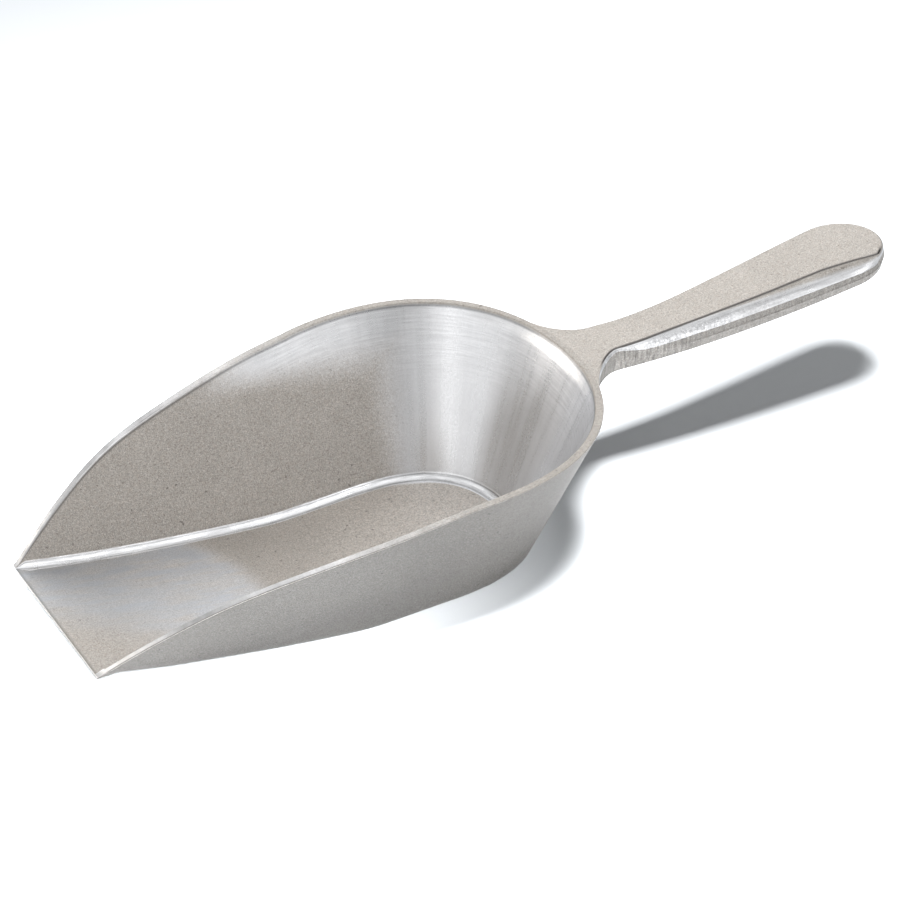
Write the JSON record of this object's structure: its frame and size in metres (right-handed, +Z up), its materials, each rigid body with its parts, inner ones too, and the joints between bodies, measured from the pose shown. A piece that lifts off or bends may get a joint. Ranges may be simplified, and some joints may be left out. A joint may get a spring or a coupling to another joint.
{
  "type": "ice scoop",
  "caption": "Cast aluminium ice scoop: open bowl with drafted side walls, ramped floor to a straight pouring lip, and a flat flared handle level with the rim.",
  "frame": {"origin": "on the ground, under the middle of the scoop's whole length and width, with the scoop resting on the flat rear part of its floor", "axes": "+X from the pouring lip towards the end of the handle, +Y to the left across the bowl, +Z up"},
  "size_m": [0.332, 0.1342, 0.0674],
  "materials": {
    "cast_aluminium": "sand-cast grain, with ground rim and polished fillets"
  },
  "bodies": {
    "root": {"bowl": "cast_aluminium", "handle": "cast_aluminium"}
  },
  "joints": []
}
